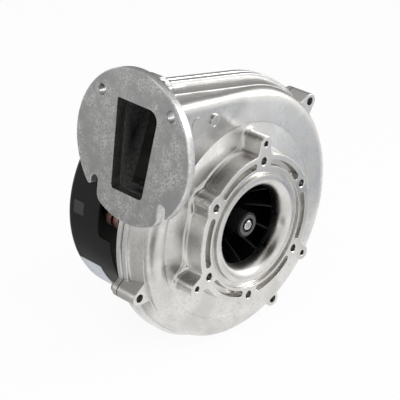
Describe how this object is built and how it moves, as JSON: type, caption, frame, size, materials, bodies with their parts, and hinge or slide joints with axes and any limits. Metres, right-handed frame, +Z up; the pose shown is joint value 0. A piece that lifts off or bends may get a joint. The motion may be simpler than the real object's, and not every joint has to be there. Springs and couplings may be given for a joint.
{
  "type": "centrifugal gas blower",
  "caption": "Centrifugal blower: die-cast scroll housing with a bolted inlet nozzle and a round outlet flange, plastic impeller, and a covered motor behind.",
  "frame": {"origin": "centre of the inlet flange's front face, on the shaft's axis", "axes": "+X to the right and +Z up for someone who looks into the inlet, +Y back along the shaft to the motor; the outlet flange faces -X"},
  "size_m": [0.2275, 0.1494, 0.2474],
  "materials": {
    "cast_alloy": "as-cast, bead blasted",
    "bracket_alloy": "die cast",
    "zinc_steel": "zinc plated",
    "bright_steel": "ground",
    "blade_plastic": "moulded, gloss",
    "cover_plastic": "moulded, satin",
    "socket_plastic": "moulded",
    "bobbin_plastic": "moulded",
    "seal_rubber": "moulded",
    "gasket_fibre": "pressed sheet",
    "copper": "enamelled wire",
    "core_steel": "laminated",
    "magnet": "sintered",
    "ferrite": "sintered",
    "board": "solder mask",
    "can": "sleeved can",
    "sink_alloy": "extruded",
    "contact": "plated"
  },
  "bodies": {
    "housing": {"front_housing": "cast_alloy", "rear_housing": "cast_alloy", "housing_gasket": "gasket_fibre", "housing_screws": "zinc_steel", "shaft_seal": "seal_rubber", "front_bearing_outer": "bright_steel", "rear_bearing_outer": "bright_steel", "preload_spring": "bright_steel", "front_bracket": "bracket_alloy", "rear_bracket": "bracket_alloy", "bracket_bolts": "zinc_steel", "rubber_mounts": "seal_rubber", "mount_screws": "zinc_steel", "stator_core": "core_steel", "coil_bobbins": "bobbin_plastic", "stator_coils": "copper", "winding_leads": "contact", "support_posts": "zinc_steel", "board_spacers": "bobbin_plastic", "circuit_board": "board", "choke_former": "ferrite", "choke_windings": "copper", "capacitors": "can", "heat_sink": "sink_alloy", "mains_socket": "socket_plastic", "mains_pins": "contact", "control_socket": "socket_plastic", "control_pins": "contact", "motor_cover": "cover_plastic", "cover_screws": "zinc_steel"},
    "rotor": {"impeller": "blade_plastic", "impeller_shroud": "blade_plastic", "hub_bush": "zinc_steel", "shaft": "bright_steel", "shaft_clip": "bright_steel", "front_bearing_inner": "bright_steel", "rear_bearing_inner": "bright_steel", "rotor_core": "core_steel", "rotor_magnets": "magnet"},
    "ball_cages": {"front_bearing_balls": "bright_steel", "rear_bearing_balls": "bright_steel", "front_bearing_cage": "bobbin_plastic", "rear_bearing_cage": "bobbin_plastic"}
  },
  "joints": [
    {"name": "rotor_spin", "type": "hinge", "parent": "housing", "child": "rotor", "pos_m": [0, 0.03, 0], "axis": [0, -1, 0], "continuous": true},
    {"name": "cage_spin", "type": "hinge", "parent": "housing", "child": "ball_cages", "pos_m": [0, 0.079, 0], "axis": [0, -1, 0], "continuous": true}
  ],
  "couplings": [
    {"joint": "cage_spin", "follows": "rotor_spin", "ratio": 0.37333}
  ]
}
